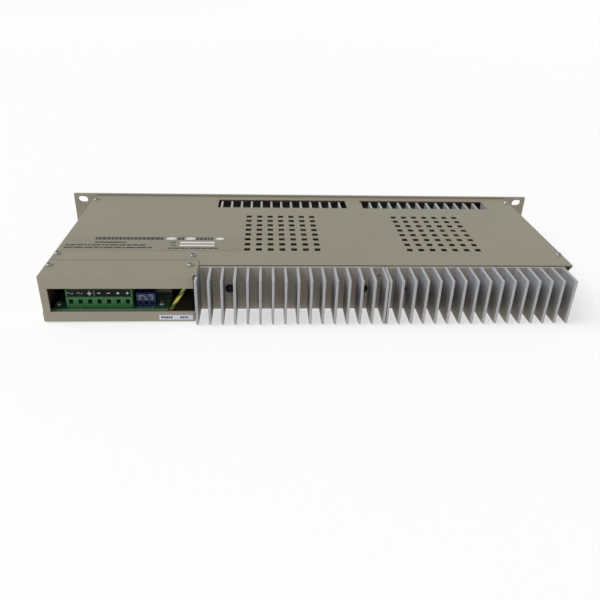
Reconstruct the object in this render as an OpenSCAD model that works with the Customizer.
// Rack-mounted power unit, one unit high: two converters in a folded steel chassis.
// X runs along the front panel, Y from the panel towards the terminals, and Z up.
// The origin is the centre of the four rack slots, on the rear face of the front panel.
// All sizes are in millimetres.

/* [Front panel] */
// Width of the front panel
panel_w = 482.6; // [478:0.1:500]
// Height of the front panel
panel_h = 44; // [43.4:0.1:53]
// Thickness of the front panel
panel_t = 3; // [2:0.5:5]
// Distance between the rack slots along X
slot_pitch_x = 465.1; // [455:0.05:468]
// Distance between the rack slots along Z
slot_pitch_z = 31.75; // [30:0.05:34]
// End-to-end length of a rack slot
slot_len = 10; // [8:0.5:12]
// Width of a rack slot
slot_w = 7; // [6:0.1:8]

/* [Case] */
// Outer width of the chassis
case_w = 437.6; // [432:0.1:445]
// How much lower the chassis is than the panel
case_below_panel = 4; // [3.4:0.1:5]
// Depth from the panel to the rear edge of the main cover
case_d = 155.6; // [150:0.1:200]
// How far the terminal bay reaches behind the main cover
bay_step = 20; // [18:0.1:30]
// Width of the terminal bay
bay_w = 122.5; // [121:0.1:130]
// Thickness of the chassis sheet
sheet = 1.2; // [0.8:0.1:1.5]
// Thickness of the two covers
cover_t = 1.2; // [0.8:0.1:1.5]
// Width of the chassis lips that carry the covers
lip_w = 12; // [9:0.5:14]
// How far the main cover reaches behind the rear wall's outer face
cover_overhang = 5.1; // [1:0.1:6]
// Height of the strip below the terminal window
strip_h = 9.1; // [5:0.1:9.5]
// Height of the band above the terminal window
band_h = 10.7; // [6:0.1:12]
// Width of the post at the outer end of the terminal window
post_w = 5.8; // [3:0.1:8]

/* [Vents] */
// Length of each cooling window in the main cover
window_w = 131.5; // [60:0.5:140]
// Depth of each cooling window
window_d = 21.5; // [10:0.5:26]
// Side of one square perforation
perf_size = 5.2; // [3:0.1:7]
// Pitch of the perforations along X
perf_pitch_x = 10.2; // [8:0.1:11]
// Pitch of the perforations along Y
perf_pitch_y = 10.4; // [8:0.1:11]
// Perforations along X in one field
perf_cols = 7; // [3:1:9]
// Perforations along Y in one field
perf_rows = 8; // [3:1:8]

/* [Heatsinks] */
// Number of fins on one heatsink
fins = 16; // [12:1:16]
// Distance from fin to fin
fin_pitch = 10.15; // [8:0.05:10.15]
// Thickness of a fin
fin_t = 2; // [1.2:0.1:3]
// Length of a fin from the base to its tip
fin_len = 24; // [15:0.5:24]
// Thickness of the heatsink base
base_t = 6.5; // [6:0.1:8]
// Distance from the panel to the fin tips of the front heatsinks
front_sink_y = 10; // [9:0.5:12]

/* [Circuit boards] */
// Thickness of the circuit boards
board_t = 1.6; // [1:0.1:2]
// Height of the spacers under the boards
spacer_h = 6; // [4:0.5:6]
// Width of one power board
power_board_w = 146; // [144:0.5:149]
// Depth of the terminal board
terminal_board_d = 63.9; // [54:0.1:80]
// Diameter of the bulk capacitors
bulk_cap_d = 25; // [18:0.5:30]
// Height of the bulk capacitors
bulk_cap_h = 29; // [20:0.5:29]
// Diameter of the output capacitors
out_cap_d = 16; // [10:0.1:19.5]
// Height of the output capacitors
out_cap_h = 26; // [15:0.5:29]

/* [Terminals] */
// Pitch of the main terminal block
pole_pitch = 7.5; // [6.3:0.1:9]
// Height of the main terminal block
block_h = 16.3; // [16:0.1:20]
// Width of a wire entry in the main terminal block
entry_w = 3.6; // [2.5:0.1:3.8]
// Height of a wire entry in the main terminal block
entry_h = 4.2; // [3:0.1:4.4]
// Pitch of the alarm relay connector
relay_pitch = 5; // [4.6:0.1:6.5]
// Height of the alarm relay connector
relay_block_h = 12.5; // [12:0.1:15]

/* [Switch and lights] */
// Width of the switch cut-out in the front panel
switch_w = 19.2; // [18:0.1:22]
// Height of the switch cut-out in the front panel
switch_h = 13; // [12:0.1:14]
// Angle of the rocker on each side of its middle position
rocker_tilt = 12; // [6:1:14]
// Diameter of the indicator lights
light_d = 5; // [3:0.5:6]

/* [Hidden] */
$fn = 40;

// Heights
panel_foot = 1.2;                      // how far the panel reaches below the chassis
case_h = panel_h - case_below_panel;   // height of the chassis without the covers
floor_z = -panel_h / 2 + panel_foot;   // underside of the chassis floor
inside_z = floor_z + sheet;            // top of the floor
lip_z = floor_z + case_h;              // top of the chassis lips, underside of the covers
cover_z = lip_z + cover_t;             // top of the covers
board_z = inside_z + spacer_h;         // underside of every circuit board
parts_z = board_z + board_t;           // top of every circuit board
mid_z = floor_z + case_h / 2;          // middle of the heatsinks

// Places along X
case_x = case_w / 2;                   // outer face of a side wall
bay_x = case_x - bay_w;                // inner edge of the terminal cover
under_bay = 1.45;                      // how far the first converter reaches under the bay
sink_gap = 0.2;                        // gap between the two converters
strip_gap = 1.2;                       // gap between the first fin and the bay's strip
cover_gap = 0.4;                       // gap between a cover's edge and its neighbour
board_side_gap = 8.25;                 // both gaps beside a power board together
fin_span = (fins - 1) * fin_pitch + fin_t;
converter_w = max(fin_span, power_board_w + board_side_gap);
sink_w = converter_w;                  // a heatsink's base is as wide as its converter
fin_side = (sink_w - fin_span) / 2;    // bare base beside the outer fins
converter_end = [bay_x + under_bay, bay_x + under_bay - converter_w - sink_gap];
converter_x = [for (x = converter_end) x - converter_w / 2];
sink_x = [for (x = converter_x) x + sink_w / 2];
strip_x = converter_end[0] + strip_gap; // inner end of the bay's rear strip

// Places along Y
bay_d = case_d + bay_step;             // rear face of the terminal bay
wall_y = case_d - cover_overhang;      // outer face of the rear wall
bay_y = bay_d - sheet;                 // inner face of the bay's rear strip
seam_y = case_d - 9.1;                 // seam between the two covers
front_base_y = front_sink_y + fin_len; // front face of the front heatsinks' bases
front_base_back = front_base_y + base_t;
window_y = front_sink_y - 1;           // front edge of the cooling windows
window_x = [24.3, -122.8];             // middles of the two windows
perf_x = [27.3, -115.4];               // middles of the two perforated fields
perf_y = case_d - 65.5;

// Screws: shank radius, head radius and head height
m3_r = 1.5;
m3_head_r = 2.75;
m3_head_h = 1.9;
m4_r = 2;
m4_head_r = min(3.6, (fin_pitch - fin_t) / 2 - 0.4);  // clear of the fins beside it
m4_head_h = 2.4;
screw_gap = 0.1;                       // radial gap of a clearance hole
cover_screw_len = 6;
cover_screw_inset = 3.6;               // from the chassis side to a cover screw
cover_screw_front = 12;
cover_screw_seam = 11;                 // from the seam to the main cover's outer rear screws
bay_screw_x = strip_x + 4.2;           // cover screws beside the bay's inner edge
bay_screw_seam = 9.4;                  // from the seam to the screws of the terminal cover
main_screw_seam = 7.4;                 // from the seam to the main cover's screw by the bay
cover_screw_xy = [
    [case_x - cover_screw_inset, cover_screw_front],
    [-case_x + cover_screw_inset, cover_screw_front],
    [case_x - cover_screw_inset, seam_y - cover_screw_seam],
    [-case_x + cover_screw_inset, seam_y - cover_screw_seam],
    [bay_screw_x, seam_y - main_screw_seam]
];
terminal_screw_xy = [
    [case_x - cover_screw_inset, seam_y + bay_screw_seam],
    [bay_screw_x, seam_y + bay_screw_seam]
];
panel_flange_h = 9;                    // height of the chassis flanges behind the panel
panel_screw_len = 7;
panel_screw_xz = concat(
    [for (sx = [-1, 1], sz = [-1, 1]) [sx * (case_x - lip_w / 2), mid_z + sz * case_h / 3.2]],
    [for (sx = [-1, 0, 1]) [sx * case_w / 4, floor_z + panel_flange_h / 2]]
);

// Bay bracket: a folded tab of the floor that carries the covers beside the bay
bracket_gap = 0.2;
lip_relief = 0.5;                      // between a chassis lip and the front heatsink's end
bracket_x = strip_x + bracket_gap;
bracket_w = 11;
bracket_y = [seam_y - 14.5, seam_y + 16.5];

// Channels between fins that hold the fixing screws, counted from the bay side
fixing_channels = [[2, fins - 3], [1, fins - 4]];
fixing_len = 12;

// Power semiconductors: width, thickness and height of a package
device = [15.9, 5, 20.8];
device_z = parts_z + 8;                // underside of a package
device_hole_z = 16.5;                  // from the underside of a package to its hole
device_hole_r = 1.8;
pad_t = 0.3;
device_pitch = 0.3112 * sink_w;        // the packages spread over a heatsink's width
front_device_x = [-device_pitch, 0, device_pitch];
rear_device_x = [-device_pitch / 2, device_pitch / 2];
device_opening_gap = 1.5;

// Power boards
board_wall_gap = 1;                    // from a board to the wall or heatsink beside it
board_y = [front_base_back + board_wall_gap, wall_y - sheet - board_wall_gap];
board_inset = 4;                       // from a board's edge to its spacers
spacer_r = 3;
board_screw_len = 5;

// Terminal board: as wide as the two connectors on it and the strips beside them
poles = 7;
relay_poles = 3;
block_w = poles * pole_pitch;
relay_w = relay_poles * relay_pitch;
connector_gap = 2.85;
board_strip = [10.4, 11.25];           // beside the relay connector and beside the block
terminal_board_w = board_strip[0] + relay_w + connector_gap + block_w + board_strip[1];
terminal_board_x = case_x - 5.8 - terminal_board_w;
terminal_board_y = bay_d - 4.7 - terminal_board_d;
terminal_spacer_xy = [
    for (x = [6, terminal_board_w - 3], y = [5, terminal_board_d - 7.9])
        [terminal_board_x + x, terminal_board_y + y]
];

// Main terminal block, in its own frame: X = 0 at its middle, Y = 0 at its front face,
// Z = 0 on the board. Wires go in along -Y.
block_x = terminal_board_x + terminal_board_w - board_strip[1] - block_w / 2;
block_y = terminal_board_y + terminal_board_d - 2.1;
block_d = 14;
marker_step = 1;                       // how far the marker's face stands back
marker_h = 5.9;
marker_t = 0.6;
marker_rim = 0.6;
block_groove = 0.3;
clamp_y = -7.9;                        // middle of a clamp behind the front face
cage = [5, 5.4, 8.1];                  // outer size of a clamp cage
cage_wall = 0.7;
cage_nut_h = 2;
cage_z = 2.8;                          // underside of an open cage
cage_travel = 2.5;
clamp_gap = 0.15;                      // gap round a cage
bar_t = 0.8;
clamp_screw_r = 1.5;
clamp_head = [2.2, 1.7];               // radius and height of a clamp screw's head
thread_gap = 0.05;
cage_top = cage_z + cage[2];
clamp_head_z = cage_top + cage_travel + 0.2;
bar_z = cage_top - cage_nut_h - 0.1 - bar_t;
entry_z = cage_z + 0.9 + entry_h / 2;  // middle of a wire entry
driver_r = 1.9;                        // screwdriver hole over a clamp screw

// Alarm relay connector, in a frame of the same kind
relay_x = terminal_board_x + board_strip[0] + relay_w / 2;
relay_y = terminal_board_y + terminal_board_d - 4.5;
relay_d = 10;
relay_clamp_y = -5.6;
relay_cage = [3.9, 4.2, 6.1];
relay_cage_wall = 0.5;
relay_nut_h = 1.6;
relay_cage_z = 0.8;
relay_travel = 1.8;
relay_bar_t = 0.6;
relay_screw_r = 1.25;
relay_head = [1.8, 1.3];
relay_top = relay_cage_z + relay_cage[2];
relay_head_z = relay_top + relay_travel + 0.2;
relay_bar_z = relay_top - relay_nut_h - 0.1 - relay_bar_t;
relay_entry = [3, 3];
relay_entry_z = relay_cage_z + 0.7 + relay_entry[1] / 2;
relay_driver_r = 1.5;

// Switch and lights
switch_x = case_x - 38.8;
switch_z = mid_z + 0.8;
switch_gap = 0.1;
switch_wall = 1;
switch_depth = 18;
tab_w = 6.3;                           // push-on tabs of the switch and the filter
tab_t = 0.8;
bezel = [switch_w + 2.4, switch_h + 2.4, 1.5];
rocker = [switch_w - 4.4, switch_h - 2 * switch_wall - 0.6];
rocker_front = 5.2;                    // from the pivot to the rocker's outer corners
rocker_pin_r = 1;
rocker_pin_len = 0.7;
pin_gap = 0.05;
light_x = [case_x - 68.8, case_x - 82.8];

// Labels
film_t = 0.15;
film = [153.5, 28.4];
film_xy = [case_x - 3.3 - film[0], seam_y - 45.4];
serial = [27, 4.4];

// Colours
beige = [0.58, 0.56, 0.48];
aluminium = [0.62, 0.62, 0.62];
board_green = [0.10, 0.32, 0.20];
block_green = [0.20, 0.46, 0.27];

// A plate in the XZ plane, standing from y to y + t, with its outline drawn as X and Z
module upright(y, t) {
    translate([0, y + t, 0]) rotate([90, 0, 0]) linear_extrude(t) children();
}

// A plate in the YZ plane, from x to x + t, with its outline drawn as Y and Z
module sideways(x, t) {
    translate([x, 0, 0]) rotate([90, 0, 90]) linear_extrude(t) children();
}

// A box given by its lowest corner and its highest corner
module box(low, high) {
    translate(low) cube(high - low);
}

// A slot with round ends, drawn about its middle
module slot_2d(len, width) {
    for (s = [-1, 1]) translate([s * (len - width) / 2, 0]) circle(d = width);
    square([len - width, width], center = true);
}

// A pan-head screw with a cross recess, its head on the plane Z = 0 and its shank below
module pan_screw(shank_r, head_r, head_h, len) {
    recess_w = head_r * 0.28;
    recess_l = head_r * 1.15;
    difference() {
        union() {
            translate([0, 0, -len]) cylinder(r = shank_r, h = len);
            rotate_extrude() polygon([
                [0, 0], [head_r, 0], [head_r, head_h * 0.45], [head_r * 0.86, head_h * 0.78],
                [head_r * 0.55, head_h * 0.96], [0, head_h]
            ]);
        }
        for (a = [0, 90]) rotate([0, 0, a])
            translate([-recess_l / 2, -recess_w / 2, head_h * 0.35])
                cube([recess_l, recess_w, head_h]);
    }
}

// ---- Case ----

module front_panel() {
    color(beige) difference() {
        upright(-panel_t, panel_t) difference() {
            square([panel_w, panel_h], center = true);
            for (sx = [-1, 1], sz = [-1, 1])
                translate([sx * slot_pitch_x / 2, sz * slot_pitch_z / 2]) slot_2d(slot_len, slot_w);
            for (p = panel_screw_xz) translate(p) circle(r = m3_r + screw_gap);
            for (x = light_x) translate([x, switch_z]) circle(d = light_d + 2 * screw_gap);
            translate([switch_x, switch_z])
                square([switch_w + 2 * switch_gap, switch_h + 2 * switch_gap], center = true);
        }
        for (p = panel_screw_xz) translate([p[0], -panel_t, p[1]]) rotate([-90, 0, 0])
            cylinder(r1 = m3_head_r + 0.1, r2 = m3_r + screw_gap, h = m3_head_h - 0.1);
    }
}

// Outline of the floor: the bay reaches further back than the rest
module floor_2d() {
    difference() {
        union() {
            translate([-case_x, 0]) square([case_w, wall_y]);
            translate([strip_x, 0]) square([case_x - strip_x, bay_d]);
        }
        floor_vents();
        for (i = [0, 1]) sink_foot_holes(i);
    }
}

// Slots in the floor under the channels of the front heatsinks
module floor_vents() {
    for (x = sink_x, k = [1 : fins - 4])
        translate([x - fin_t / 2 - (k + 0.5) * fin_pitch, window_y + window_d / 2])
            rotate([0, 0, 90]) slot_2d(window_d, fin_pitch / 2);
}

// Holes for the screws that come up through the floor into a front heatsink
module sink_foot_holes(i) {
    for (c = [0.1, 0.9])
        translate([sink_x[i] - c * sink_w, front_base_y + base_t / 2])
            circle(r = m4_r + screw_gap);
}

module rear_wall_2d() {
    difference() {
        translate([-case_x, floor_z]) square([case_x + converter_end[0] - fin_t, case_h]);
        for (i = [0, 1]) {
            for (x = rear_device_x)
                translate([converter_x[i] + x, device_z + device[2] / 2])
                    square([device[0], device[2]] + 2 * device_opening_gap * [1, 1],
                        center = true);
            for (c = fixing_channels[i]) translate([channel_x(i, c), mid_z])
                circle(r = m4_r + screw_gap);
        }
    }
}

// The side wall away from the bay ends in a slanted corner under the main cover
module far_side_2d() {
    polygon([
        [0, floor_z], [wall_y, floor_z], [wall_y, lip_z - 7], [case_d - 4, lip_z - 5.6],
        [case_d - 0.2, lip_z], [0, lip_z]
    ]);
}

module chassis() {
    color(beige) difference() {
        union() {
            translate([0, 0, floor_z]) linear_extrude(sheet) floor_2d();
            sideways(-case_x, sheet) far_side_2d();
            box([case_x - sheet, 0, floor_z], [case_x, bay_y, lip_z]);
            translate([0, 0, lip_z - sheet]) linear_extrude(sheet) {
                translate([-case_x, 0]) square([lip_w, wall_y]);
                translate([case_x - lip_w, 0]) square([lip_w, bay_y]);
                translate([-case_x, 0]) square([case_w, window_y - 2]);
            }
            upright(0, sheet) {
                translate([-case_x, floor_z]) square([case_w, panel_flange_h]);
                translate([-case_x, lip_z - panel_flange_h]) square([case_w, panel_flange_h]);
                for (x = [-case_x, case_x - lip_w])
                    translate([x, floor_z]) square([lip_w, case_h]);
            }
            upright(wall_y - sheet, sheet) rear_wall_2d();
            box([strip_x, bay_y, floor_z], [case_x, bay_d, floor_z + strip_h]);
            box([bracket_x, bracket_y[0], floor_z], [bracket_x + sheet, bracket_y[1], lip_z]);
            box([bracket_x, bracket_y[0], lip_z - sheet],
                [bracket_x + bracket_w, bracket_y[1], lip_z]);
        }
        for (p = concat(cover_screw_xy, terminal_screw_xy))
            translate([p[0], p[1], lip_z - sheet - 1]) cylinder(r = m3_r + thread_gap, h = sheet + 2);
        box([sink_x[1] - sink_w - lip_relief, front_sink_y - lip_relief, lip_z - sheet - 1],
            [sink_x[1], front_base_back + lip_relief, lip_z + 1]);
        for (p = panel_screw_xz) translate([p[0], -1, p[1]]) rotate([-90, 0, 0])
            cylinder(r = m3_r + thread_gap, h = sheet + 2);
        translate([bracket_x - 1, earth_stud[1], earth_stud[2]]) rotate([0, 90, 0])
            cylinder(r = m4_r + thread_gap, h = sheet + 2);
    }
}

module top_cover() {
    color(beige) translate([0, 0, lip_z]) linear_extrude(cover_t) difference() {
        union() {
            translate([-case_x + cover_gap, cover_gap])
                square([case_w - 2 * cover_gap, seam_y - cover_gap]);
            translate([-case_x + cover_gap, cover_gap])
                square([case_x + bay_x - 2 * cover_gap, case_d - cover_gap]);
        }
        for (x = window_x) translate([x - window_w / 2, window_y]) square([window_w, window_d]);
        for (x = perf_x, i = [0 : perf_cols - 1], j = [0 : perf_rows - 1])
            translate([
                x + (i - (perf_cols - 1) / 2) * perf_pitch_x,
                perf_y + (j - (perf_rows - 1) / 2) * perf_pitch_y
            ]) square(perf_size, center = true);
        for (p = cover_screw_xy) translate(p) circle(r = m3_r + 2 * screw_gap);
    }
}

module terminal_cover() {
    corner_notch = 2.8;
    post_gap = 0.3;
    color(beige) {
        translate([0, 0, lip_z]) linear_extrude(cover_t) difference() {
            union() {
                translate([bay_x, seam_y + cover_gap])
                    square([bay_w - cover_gap, bay_d - corner_notch - seam_y - cover_gap]);
                translate([bay_x + corner_notch, bay_y - corner_notch])
                    square([bay_w - corner_notch - cover_gap, corner_notch + sheet]);
            }
            for (p = terminal_screw_xy) translate(p) circle(r = m3_r + 2 * screw_gap);
        }
        upright(bay_y, sheet) {
            translate([bay_x + corner_notch, cover_z - band_h])
                square([bay_w - corner_notch - cover_gap, band_h]);
            translate([case_x - cover_gap - post_w, floor_z + strip_h + post_gap])
                square([post_w, case_h + cover_t - strip_h - post_gap]);
        }
    }
}

module cover_screws() {
    color("silver") for (p = concat(cover_screw_xy, terminal_screw_xy))
        translate([p[0], p[1], cover_z]) rotate([0, 0, 37 * p[0]])
            pan_screw(m3_r, m3_head_r, m3_head_h, cover_screw_len);
}

module panel_screws() {
    color("silver") for (p = panel_screw_xz)
        translate([p[0], -panel_t + 0.1, p[1]]) rotate([-90, 0, 0]) difference() {
            union() {
                cylinder(r1 = m3_head_r, r2 = m3_r, h = m3_head_h - 0.3);
                cylinder(r = m3_r, h = panel_screw_len);
            }
            for (a = [0, 90]) rotate([0, 0, a]) translate([-1.7, -0.4, -1]) cube([3.4, 0.8, 2]);
        }
}

// ---- Heatsinks ----

// Middle of a channel between two fins, counted from the bay side of heatsink i
function channel_x(i, c) = sink_x[i] - fin_side - fin_t / 2 - (c + 0.5) * fin_pitch;

// Cross-section of a heatsink: a base along X with fins towards +Y
module heatsink_2d() {
    chamfer = fin_t * 0.15;
    translate([-sink_w, 0]) square([sink_w, base_t]);
    for (k = [0 : fins - 1]) translate([-fin_side - fin_t / 2 - k * fin_pitch, base_t])
        polygon([
            [-fin_t / 2, -1], [fin_t / 2, -1], [fin_t / 2, fin_len - chamfer],
            [fin_t / 2 - chamfer, fin_len], [-fin_t / 2 + chamfer, fin_len],
            [-fin_t / 2, fin_len - chamfer]
        ]);
}

module rear_heatsink(i) {
    color(aluminium) difference() {
        translate([sink_x[i], wall_y, floor_z]) linear_extrude(case_h) heatsink_2d();
        for (c = fixing_channels[i])
            translate([channel_x(i, c), wall_y - 1, mid_z]) rotate([-90, 0, 0])
                cylinder(r = m4_r + screw_gap, h = base_t + 2);
        for (x = rear_device_x)
            translate([converter_x[i] + x, wall_y - 1, device_z + device_hole_z])
                rotate([-90, 0, 0]) cylinder(r = m3_r + thread_gap, h = base_t);
        if (i == 0) translate([channel_x(0, fins - 2) - 2.5, wall_y + 2, mid_z + 12])
            rotate([-90, 0, 0]) cylinder(r = 1.1, h = base_t);
    }
}
module rear_heatsink_a() { rear_heatsink(0); }
module rear_heatsink_b() { rear_heatsink(1); }

module front_heatsink(i) {
    top_gap = 0.2;
    color(aluminium) difference() {
        translate([sink_x[i], front_base_back, inside_z]) mirror([0, 1, 0])
            linear_extrude(lip_z - top_gap - inside_z) heatsink_2d();
        translate([0, 0, inside_z - 1]) linear_extrude(fixing_len) sink_foot_holes(i);
        for (x = front_device_x)
            translate([converter_x[i] + x, front_base_y + 1.5, device_z + device_hole_z])
                rotate([-90, 0, 0]) cylinder(r = m3_r + thread_gap, h = base_t);
    }
}
module front_heatsink_a() { front_heatsink(0); }
module front_heatsink_b() { front_heatsink(1); }

module heatsink_screws() {
    color([0.08, 0.08, 0.08]) for (i = [0, 1]) {
        for (c = fixing_channels[i])
            translate([channel_x(i, c), wall_y + base_t, mid_z]) rotate([-90, 0, 0])
                pan_screw(m4_r, m4_head_r, m4_head_h, fixing_len);
        for (c = [0.1, 0.9])
            translate([sink_x[i] - c * sink_w, front_base_y + base_t / 2, floor_z])
                cylinder(r = m4_r, h = fixing_len - 3);
    }
}

// ---- Labels ----

module rating_film() {
    color([0.50, 0.49, 0.42]) translate([film_xy[0], film_xy[1], cover_z])
        linear_extrude(film_t) square(film);
}

module serial_label() {
    color([0.80, 0.80, 0.86]) translate([strip_x + 1.7, bay_d, floor_z + 1.6])
        cube([serial[0], film_t, serial[1]]);
}

// ---- Terminal board ----

module terminal_board() {
    color(board_green) translate([0, 0, board_z]) linear_extrude(board_t) difference() {
        translate([terminal_board_x, terminal_board_y])
            square([terminal_board_w, terminal_board_d]);
        for (p = terminal_spacer_xy) translate(p) circle(r = m3_r + screw_gap);
        for (k = [0 : poles - 1]) translate([pole_x(k), block_y - block_d + 1.4])
            square([1.2, 1.2], center = true);
        for (k = [0 : relay_poles - 1]) translate([relay_pole_x(k), relay_y - relay_d + 1.1])
            square([1, 1], center = true);
    }
}

function pole_x(k) = block_x + ((poles - 1) / 2 - k) * pole_pitch;
function relay_pole_x(k) = relay_x + ((relay_poles - 1) / 2 - k) * relay_pitch;

// Everything that is cut out of a terminal housing for one pole, in the pole's own frame
module clamp_space(size, z, mid_y, entry, entry_mid, head_z, head, driver, bar_w, bar_top, depth) {
    gap = clamp_gap;
    box([-size[0] / 2 - gap, mid_y - size[1] / 2 - gap, z - gap],
        [size[0] / 2 + gap, mid_y + size[1] / 2 + gap, head_z]);
    box([-entry[0] / 2, mid_y, entry_mid - entry[1] / 2], [entry[0] / 2, 1, entry_mid + entry[1] / 2]);
    translate([0, mid_y, head_z - 0.01]) cylinder(r = head[0] + gap, h = head[1] + gap);
    translate([0, mid_y, head_z]) cylinder(r = driver, h = 20);
    box([-bar_w / 2 - gap, -depth + 0.8, -1], [bar_w / 2 + gap, mid_y, bar_top + gap]);
}

module terminal_block() {
    color(block_green) translate([block_x, block_y, parts_z]) difference() {
        sideways(-block_w / 2, block_w) polygon([
            [-block_d, 0], [0, 0], [0, block_h - marker_h - marker_rim],
            [-marker_step, block_h - marker_h - marker_rim], [-marker_step, block_h - 0.5],
            [-marker_step - 0.5, block_h], [-block_d + 1, block_h], [-block_d, block_h - 1]
        ]);
        translate([-block_w / 2 + 1, -marker_step - marker_t, block_h - marker_h - marker_rim / 2])
            cube([block_w - 2, marker_t + 1, marker_h]);
        for (k = [0 : poles - 1]) translate([pole_x(k) - block_x, 0, 0]) {
            clamp_space(cage, cage_z, clamp_y, [entry_w, entry_h], entry_z, clamp_head_z,
                clamp_head, driver_r, cage[0] - 2 * cage_wall - 0.4, bar_z + bar_t, block_d);
            if (k > 0) translate([pole_pitch / 2 - block_groove / 2, -block_groove, -1])
                cube([block_groove, 1, block_h - marker_h]);
        }
    }
}

module terminal_marker() {
    color([0.05, 0.05, 0.06])
        translate([block_x - block_w / 2 + 1.05, block_y - marker_step - marker_t,
                   parts_z + block_h - marker_h - marker_rim / 2 + 0.05])
            cube([block_w - 2.1, marker_t, marker_h - 0.1]);
}

// A current bar: a tongue inside the cage, a leg behind it and a pin through the board
module current_bar(width, t, top, mid_y, tongue, depth, pin_w) {
    sideways(-width / 2, width) polygon([
        [-depth + 1, 0], [-depth + 1 + t, 0], [-depth + 1 + t, top - t],
        [mid_y + tongue, top - t], [mid_y + tongue, top], [-depth + 1, top]
    ]);
    box([-pin_w / 2, -depth + 1, -board_t - 1.4], [pin_w / 2, -depth + 1 + t, 0.5]);
}

module contact_bars() {
    color([0.78, 0.75, 0.62]) {
        for (k = [0 : poles - 1]) translate([pole_x(k), block_y, parts_z])
            current_bar(cage[0] - 2 * cage_wall - 0.4, bar_t, bar_z + bar_t, clamp_y,
                cage[1] / 2, block_d, 0.9);
        for (k = [0 : relay_poles - 1]) translate([relay_pole_x(k), relay_y, parts_z])
            current_bar(relay_cage[0] - 2 * relay_cage_wall - 0.4, relay_bar_t,
                relay_bar_z + relay_bar_t, relay_clamp_y, relay_cage[1] / 2, relay_d, 0.7);
    }
}

// A clamp screw with a slotted head, its head's underside on Z = 0 and its shank below
module clamp_screw(shank_r, head, len) {
    difference() {
        union() {
            translate([0, 0, -len]) cylinder(r = shank_r, h = len + 0.1);
            cylinder(r = head[0], h = head[1]);
        }
        translate([-head[0], -0.3, head[1] * 0.4]) cube([2 * head[0], 0.6, head[1]]);
    }
}

module block_screw(k) {
    color("silver") translate([pole_x(k), block_y + clamp_y, parts_z + clamp_head_z])
        clamp_screw(clamp_screw_r, clamp_head, clamp_head_z - bar_z - bar_t - 0.1);
}

module relay_screw(k) {
    color("silver") translate([relay_pole_x(k), relay_y + relay_clamp_y, parts_z + relay_head_z])
        clamp_screw(relay_screw_r, relay_head, relay_head_z - relay_bar_z - relay_bar_t - 0.1);
}

// A rising clamp cage: a frame open along Y, with the screw's thread in its top
module clamp_cage(size, wall, nut_h, screw_r) {
    difference() {
        translate([-size[0] / 2, -size[1] / 2, 0]) cube(size);
        translate([-size[0] / 2 + wall, -size[1] / 2 - 1, wall])
            cube([size[0] - 2 * wall, size[1] + 2, size[2] - wall - nut_h]);
        translate([0, 0, size[2] - nut_h - 1]) cylinder(r = screw_r + thread_gap, h = nut_h + 2);
    }
}

module block_cage(k) {
    color([0.80, 0.78, 0.66]) translate([pole_x(k), block_y + clamp_y, parts_z + cage_z])
        clamp_cage(cage, cage_wall, cage_nut_h, clamp_screw_r);
}

module relay_cage_part(k) {
    color([0.80, 0.78, 0.66])
        translate([relay_pole_x(k), relay_y + relay_clamp_y, parts_z + relay_cage_z])
            clamp_cage(relay_cage, relay_cage_wall, relay_nut_h, relay_screw_r);
}

module relay_connector() {
    color([0.10, 0.20, 0.50]) translate([relay_x, relay_y, parts_z]) difference() {
        sideways(-relay_w / 2, relay_w) polygon([
            [-relay_d, 0], [0, 0], [0, relay_block_h - 1.2], [-1.2, relay_block_h],
            [-relay_d, relay_block_h]
        ]);
        for (k = [0 : relay_poles - 1]) translate([relay_pole_x(k) - relay_x, 0, 0])
            clamp_space(relay_cage, relay_cage_z, relay_clamp_y, relay_entry, relay_entry_z,
                relay_head_z, relay_head, relay_driver_r,
                relay_cage[0] - 2 * relay_cage_wall - 0.4, relay_bar_z + relay_bar_t, relay_d);
    }
}

module alarm_relay() {
    relay_size = [16, 20, 15];
    color([0.62, 0.58, 0.48]) translate([terminal_board_x + 1, terminal_board_y + 17.2, parts_z])
        cube(relay_size);
}

// A 5 x 20 mm glass fuse in two clips
module mains_fuse() {
    fuse_r = 2.6;
    fuse_len = 20;
    cap_len = 5;
    clip = [3, 2 * fuse_r + 1.2, 6];
    fuse_up = 5;
    translate([terminal_board_x + 55, terminal_board_y + 22, parts_z]) {
        color([0.75, 0.85, 0.85]) translate([cap_len, 0, fuse_up]) rotate([0, 90, 0])
            cylinder(r = fuse_r - 0.2, h = fuse_len - 2 * cap_len);
        color("silver") for (x = [0, fuse_len - cap_len]) translate([x, 0, 0]) {
            translate([0, 0, fuse_up]) rotate([0, 90, 0]) cylinder(r = fuse_r, h = cap_len);
            difference() {
                translate([1, -clip[1] / 2, 0]) cube(clip);
                translate([0, 0, fuse_up]) rotate([0, 90, 0]) cylinder(r = fuse_r, h = cap_len);
                translate([0, -fuse_r, fuse_up]) cube([cap_len, 2 * fuse_r, cap_len]);
            }
        }
    }
}

// ---- Earth bond ----

earth_wire_r = 1.5;
earth_stud = [bracket_x + sheet, bracket_y[0] + 20, mid_z + 9.3];
earth_route = [
    [126, 152, -15.15], [124.6, 156, -15.8], [122.6, 160.5, -16.7], [120.8, 165, -16.4],
    [119.6, 167.4, -14.6], [116.4, 168.6, -9.4], [111.9, 168.8, -2], [108.2, 168.4, 4],
    [105.6, 166.6, 7.6], [103.4, 163.6, 8.9], [102.4, 160.9, 8.6], [102.3, 158.45, 8.5]
];

// Catmull-Rom point at u between p[i] and p[i + 1]
function spline_point(p, i, u) =
    let (n = len(p) - 1, a = p[max(i - 1, 0)], b = p[i], c = p[min(i + 1, n)], d = p[min(i + 2, n)])
    0.5 * (2 * b + (c - a) * u + (2 * a - 5 * b + 4 * c - d) * u * u
        + (3 * b - a - 3 * c + d) * u * u * u);
function spline(p, steps) = concat(
    [for (i = [0 : len(p) - 2], s = [0 : steps - 1]) spline_point(p, i, s / steps)],
    [p[len(p) - 1]]
);
function unit(v) = v / norm(v);
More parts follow.
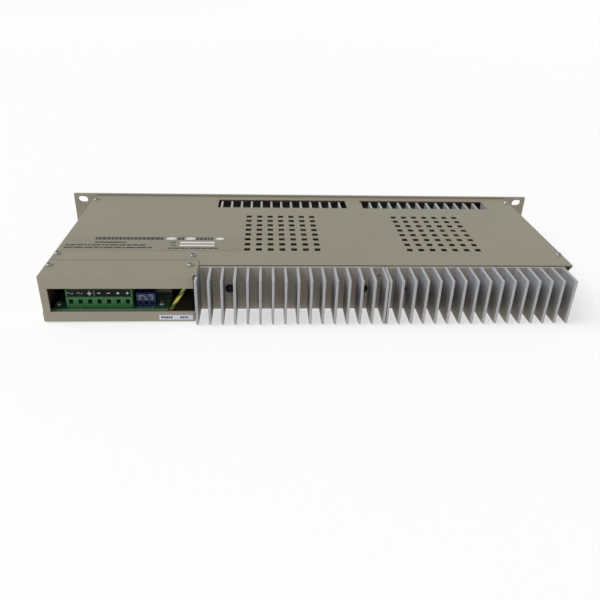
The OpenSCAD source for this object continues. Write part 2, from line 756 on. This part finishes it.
// Two directions square to d, the second also square to the first
function side_of(d) = unit(abs(d[2]) < 0.9 ? cross(d, [0, 0, 1]) : cross(d, [1, 0, 0]));

// A round lead along a list of points
module lead(route, r, steps = 3, sides = 8) {
    p = spline(route, steps);
    n = len(p);
    dirs = [for (i = [0 : n - 1]) unit(p[min(i + 1, n - 1)] - p[max(i - 1, 0)])];
    rings = [for (i = [0 : n - 1])
        let (u = side_of(dirs[i]), v = cross(dirs[i], u))
        for (k = [0 : sides - 1]) p[i] + r * (cos(360 * k / sides) * u + sin(360 * k / sides) * v)];
    faces = concat(
        [[for (k = [0 : sides - 1]) k]],
        [for (i = [0 : n - 2], k = [0 : sides - 1])
            [i * sides + k, (i + 1) * sides + k, (i + 1) * sides + (k + 1) % sides,
             i * sides + (k + 1) % sides]],
        [[for (k = [sides - 1 : -1 : 0]) (n - 1) * sides + k]]
    );
    polyhedron(points = rings, faces = faces, convexity = 6);
}

module earth_wire() {
    color([0.55, 0.56, 0.15]) lead(earth_route, earth_wire_r);
}

// Threaded stud on the bracket, the ring lug of the earth wire, a washer and a nut
module earth_fixings() {
    lug_t = 0.8;
    barrel_r = 1.9;
    color("silver") translate(earth_stud) rotate([0, 90, 0]) {
        translate([0, 3.9, barrel_r + 0.05]) rotate([-90, 0, 0]) cylinder(r = barrel_r, h = 2.4);
        translate([0, 0, -sheet]) cylinder(r = m4_r, h = 8);
        difference() {
            cylinder(r = 4, h = lug_t);
            translate([0, 0, -1]) cylinder(r = m4_r + screw_gap, h = 3);
        }
        translate([0, 0, lug_t]) difference() {
            cylinder(r = 4.2, h = 0.8);
            translate([0, 0, -1]) cylinder(r = m4_r + screw_gap, h = 3);
        }
        translate([0, 0, lug_t + 0.8]) difference() {
            cylinder(d = 8.1, h = 3.2, $fn = 6);
            translate([0, 0, -1]) cylinder(r = m4_r + thread_gap, h = 6);
        }
    }
}

// ---- Switch and lights ----

module switch_body() {
    inner = [rocker[0] + 2.4, rocker[1] + 0.5];
    cavity = 4.4;
    color([0.07, 0.07, 0.07]) translate([switch_x, 0, switch_z]) difference() {
        union() {
            upright(-panel_t - bezel[2], bezel[2]) square([bezel[0], bezel[1]], center = true);
            upright(-panel_t, panel_t + switch_depth) square([switch_w, switch_h], center = true);
            for (x = [-5, 5]) upright(switch_depth - 0.1, 8) translate([x, 0])
                square([tab_t, tab_w], center = true);
        }
        upright(-panel_t - bezel[2] - 1, panel_t + bezel[2] + 1 + cavity)
            square(inner, center = true);
        translate([0, 0, -rocker[1] / 2 - rocker_pin_len - 0.2])
            cylinder(r = rocker_pin_r + pin_gap, h = rocker[1] + 2 * rocker_pin_len + 0.4);
    }
}

module switch_rocker() {
    half = rocker[0] / 2;
    color([0.55, 0.06, 0.05]) translate([switch_x, 0, switch_z]) rotate([0, 0, -rocker_tilt]) {
        translate([0, 0, -rocker[1] / 2]) linear_extrude(rocker[1]) polygon([
            [-half, -rocker_front], [0, -rocker_front + 1.4], [half, -rocker_front],
            [half, -rocker_front + 1.8], [2.5, 2.4], [-2.5, 2.4], [-half, -rocker_front + 1.8]
        ]);
        translate([0, 0, -rocker[1] / 2 - rocker_pin_len])
            cylinder(r = rocker_pin_r, h = rocker[1] + 2 * rocker_pin_len);
    }
}

module status_lights() {
    color([0.2, 0.7, 0.3]) for (x = light_x) translate([x, 0, switch_z]) rotate([90, 0, 0]) {
        translate([0, 0, -1]) cylinder(d = light_d + 0.8, h = 1);
        cylinder(d = light_d, h = panel_t + 0.4);
        translate([0, 0, panel_t + 0.4]) difference() {
            sphere(d = light_d);
            translate([0, 0, -light_d]) cube(2 * light_d, center = true);
        }
    }
}

// ---- Power boards ----

function board_corners(i) = [
    for (sx = [-1, 1], y = [board_y[0] + board_inset, board_y[1] - board_inset])
        [converter_x[i] + sx * (power_board_w / 2 - board_inset), y]
];

module power_board(i) {
    color(board_green) translate([0, 0, board_z]) linear_extrude(board_t) difference() {
        translate([converter_x[i] - power_board_w / 2, board_y[0]])
            square([power_board_w, board_y[1] - board_y[0]]);
        for (p = board_corners(i)) translate(p) circle(r = m3_r + screw_gap);
    }
}
module power_board_a() { power_board(0); }
module power_board_b() { power_board(1); }

module board_spacers() {
    color([0.80, 0.70, 0.40])
        for (p = concat(board_corners(0), board_corners(1), terminal_spacer_xy))
            translate([p[0], p[1], inside_z]) difference() {
                cylinder(r = spacer_r, h = spacer_h);
                translate([0, 0, 0.8]) cylinder(r = m3_r + thread_gap, h = spacer_h);
            }
}

// Board screws, and the same screws through the power semiconductors
module inside_screws() {
    color("silver") {
        for (p = concat(board_corners(0), board_corners(1), terminal_spacer_xy))
            translate([p[0], p[1], parts_z]) pan_screw(m3_r, m3_head_r, m3_head_h, board_screw_len);
        for (c = converter_x) {
            for (x = front_device_x)
                translate([c + x, front_base_back + pad_t + device[1], device_z + device_hole_z])
                    rotate([-90, 0, 0]) pan_screw(m3_r, m3_head_r, m3_head_h, board_screw_len + 4);
            for (x = rear_device_x)
                translate([c + x, wall_y - pad_t - device[1], device_z + device_hole_z])
                    rotate([90, 0, 0]) pan_screw(m3_r, m3_head_r, m3_head_h, board_screw_len + 4);
        }
    }
}

// A flat power package with its back on Y = 0, its body towards +Y and its leads on the board
module power_device() {
    difference() {
        upright(0, device[1]) translate([-device[0] / 2, 0]) square([device[0], device[2]]);
        translate([0, -1, device_hole_z]) rotate([-90, 0, 0])
            cylinder(r = device_hole_r, h = device[1] + 2);
    }
    for (x = [-5.45, 0, 5.45])
        box([x - 0.6, 2.2, parts_z - device_z], [x + 0.6, 2.8, 0.1]);
}

module power_devices() {
    color([0.10, 0.10, 0.10]) for (c = converter_x) {
        for (x = front_device_x)
            translate([c + x, front_base_back + pad_t, device_z]) power_device();
        for (x = rear_device_x)
            translate([c + x, wall_y - pad_t, device_z]) mirror([0, 1, 0]) power_device();
    }
}

module device_pad() {
    rim = 0.8;
    difference() {
        upright(0, pad_t) translate([-device[0] / 2 - rim, -rim])
            square([device[0] + 2 * rim, device[2] + 2 * rim]);
        translate([0, -1, device_hole_z]) rotate([-90, 0, 0])
            cylinder(r = device_hole_r, h = pad_t + 2);
    }
}

module device_pads() {
    color([0.85, 0.82, 0.72]) for (c = converter_x) {
        for (x = front_device_x) translate([c + x, front_base_back, device_z]) device_pad();
        for (x = rear_device_x)
            translate([c + x, wall_y, device_z]) mirror([0, 1, 0]) device_pad();
    }
}

// Places on a power board are from its converter's middle and the board's front edge
core = [42, 42, 15];
core_leg = 12.2;
core_frame = 6.4;
winding_h = 27;
bulk_cap_at = [
    for (i = [0, 1])
        [-power_board_w / 2 + 10.5 + bulk_cap_d / 2, 13.5 + bulk_cap_d / 2 + i * (bulk_cap_d + 5)]
];
out_cap_at = [
    for (i = [0 : 2])
        [power_board_w / 2 - 2 - out_cap_d / 2 - i * (out_cap_d + 2), 54 + out_cap_d / 2]
];
transformer_at = [out_cap_at[2][0] - out_cap_d / 2 - 3 - core[0] / 2, 45.5];

module transformer_core() {
    window = [(core[0] - core_leg) / 2 - core_frame, core[1] - 2 * core_frame];
    linear_extrude(core[2]) difference() {
        square([core[0], core[1]], center = true);
        for (s = [-1, 1]) translate([s * (core_leg + window[0]) / 2, 0])
            square(window, center = true);
    }
}

module transformer_cores() {
    color([0.20, 0.20, 0.21]) for (c = converter_x)
        translate([c + transformer_at[0], board_y[0] + transformer_at[1],
                   parts_z + (winding_h - core[2]) / 2]) transformer_core();
}

module transformer_windings() {
    gap = 0.2;
    coil = [core[0] - 2 * core_frame - 2 * gap, core[1] - 2 * core_frame - 2 * gap];
    color([0.75, 0.62, 0.20]) for (c = converter_x)
        translate([c + transformer_at[0], board_y[0] + transformer_at[1], parts_z]) difference() {
            translate([-coil[0] / 2, -coil[1] / 2, 0]) cube([coil[0], coil[1], winding_h]);
            translate([-core_leg / 2 - gap, -core[1], (winding_h - core[2]) / 2 - gap])
                cube([core_leg + 2 * gap, 2 * core[1], core[2] + 2 * gap]);
        }
}

// A can with a rolled rim and a domed vent on top
module capacitor(d, h) {
    rotate_extrude() polygon([
        [0, 0], [d / 2 - 0.5, 0], [d / 2, 0.5], [d / 2, 2.2], [d / 2 - 0.6, 2.8], [d / 2, 3.4],
        [d / 2, h - 0.8], [d / 2 - 0.8, h], [d / 2 - 2, h], [d / 2 - 2.4, h - 0.4], [0, h - 0.4]
    ]);
}

module bulk_capacitors() {
    color([0.12, 0.14, 0.20]) for (c = converter_x, p = bulk_cap_at)
        translate([c + p[0], board_y[0] + p[1], parts_z]) capacitor(bulk_cap_d, bulk_cap_h);
}

module output_capacitors() {
    color([0.10, 0.12, 0.12]) for (c = converter_x, p = out_cap_at)
        translate([c + p[0], board_y[0] + p[1], parts_z]) capacitor(out_cap_d, out_cap_h);
}

choke = [9, 16, 12];                   // inner radius, outer radius and height of the ring
choke_wire = 1.8;
choke_gap = 0.1;                       // between the ring and the copper round it
choke_at = [42, 28];

module choke_cores() {
    color([0.75, 0.70, 0.25]) for (c = converter_x)
        translate([c + choke_at[0], board_y[0] + choke_at[1], parts_z + choke_wire])
            rotate_extrude() translate([choke[0], 0]) square([choke[1] - choke[0], choke[2]]);
}

// The copper is a sleeve round most of the ring
module choke_windings() {
    color([0.70, 0.36, 0.16]) for (c = converter_x)
        translate([c + choke_at[0], board_y[0] + choke_at[1], parts_z])
            rotate_extrude(angle = 310) difference() {
                translate([choke[0] - choke_wire, 0])
                    square([choke[1] - choke[0] + 2 * choke_wire, choke[2] + 2 * choke_wire]);
                translate([choke[0] - choke_gap, choke_wire - choke_gap])
                    square([choke[1] - choke[0] + 2 * choke_gap, choke[2] + 2 * choke_gap]);
            }
}

// Mains filter in a metal can with two flanges and four connecting tabs
module line_filter() {
    can = [50, 44, 26];
    flange = 9;
    tab_len = 8;
    color([0.70, 0.70, 0.70]) translate([case_x - 88, 36, inside_z]) {
        cube(can);
        difference() {
            translate([-flange, 8, 0]) cube([can[0] + 2 * flange, can[1] - 16, 1]);
            for (x = [-flange / 2, can[0] + flange / 2]) translate([x, can[1] / 2, -1])
                cylinder(r = m3_r + screw_gap, h = 3);
        }
        for (x = [14, 36], y = [-tab_len, can[1] - 0.1]) translate([x, y, 14])
            cube([tab_w, tab_len + 0.1, tab_t]);
    }
}

// ---- Wiring ----

wire_r = 1;
mains_routes = [
    [[190, 112, -11.8], [190, 111.8, -9.4], [188, 106, -7.4], [180, 99, -5.6], [171.6, 94, -5.2],
     [170, 91, -5.2], [170, 88.2, -5.2]],
    [[170, 112, -11.8], [170, 111.8, -9.4], [167, 106, -7.4], [157, 99, -5.6], [149.6, 94, -5.2],
     [148, 91, -5.2], [148, 88.2, -5.2]],
    [[185, 26.1, 0], [185, 28, 0], [187, 33, -2], [189, 36, -6], [188, 33, -11], [182, 27, -13.5],
     [174, 22.5, -12], [170.5, 22.5, -8], [170, 25.5, -5.4], [170, 27.8, -5.2]],
    [[175, 26.1, 0], [175, 28, 0.1], [175, 30.5, 2.5], [171, 32, 5.5], [160, 31, 5],
     [150, 27, 0], [148, 23.5, -4], [148, 25.5, -5.3], [148, 27.8, -5.2]]
];
output_routes = concat(
    [for (y = [0, 3])
        [[86, 118 + y, -11.8], [86.3, 118 + y, -9.6], [90, 118 + y, -8.2], [100, 117 + y, -7.6],
         [112, 114 + y, -7.6], [124, 111 + y, -7.4], [131.5, 110 + y, -8.2],
         [132.8, 110 + y, -9.6], [133, 110 + y, -11.8]]],
    [for (y = [0, 3])
        [[-66, 126 + y, -11.8], [-65.7, 126 + y, -9.6], [-61, 126 + y, -8.6],
         [-20, 127 + y, -8.6], [30, 126 + y, -8.6], [84, 126 + y, -8.6], [100, 124.5 + y, -8],
         [112, 121 + y, -7.6], [124, 118 + y, -7.4], [131.5, 116.5 + y, -8.2],
         [132.8, 116.5 + y, -9.6], [133, 116.5 + y, -11.8]]]
);

module mains_wires() {
    color([0.45, 0.28, 0.15]) for (r = mains_routes) lead(r, wire_r);
}

module output_wires() {
    color([0.60, 0.10, 0.08]) for (r = output_routes) lead(r, wire_r);
}

front_panel();
chassis();
top_cover();
terminal_cover();
cover_screws();
panel_screws();
rear_heatsink_a();
rear_heatsink_b();
front_heatsink_a();
front_heatsink_b();
heatsink_screws();
rating_film();
serial_label();
terminal_board();
terminal_block();
terminal_marker();
contact_bars();
relay_connector();
block_screw(0);  // block_screw_1
block_screw(1);  // block_screw_2
block_screw(2);  // block_screw_3
block_screw(3);  // block_screw_4
block_screw(4);  // block_screw_5
block_screw(5);  // block_screw_6
block_screw(6);  // block_screw_7
block_cage(0);  // block_cage_1
block_cage(1);  // block_cage_2
block_cage(2);  // block_cage_3
block_cage(3);  // block_cage_4
block_cage(4);  // block_cage_5
block_cage(5);  // block_cage_6
block_cage(6);  // block_cage_7
relay_screw(0);  // relay_screw_1
relay_screw(1);  // relay_screw_2
relay_screw(2);  // relay_screw_3
relay_cage_part(0);  // relay_cage_1
relay_cage_part(1);  // relay_cage_2
relay_cage_part(2);  // relay_cage_3
earth_wire();
earth_fixings();
switch_body();
switch_rocker();
status_lights();
power_board_a();
power_board_b();
board_spacers();
inside_screws();
transformer_cores();
transformer_windings();
bulk_capacitors();
output_capacitors();
choke_cores();
choke_windings();
power_devices();
device_pads();
alarm_relay();
mains_fuse();
line_filter();
mains_wires();
output_wires();
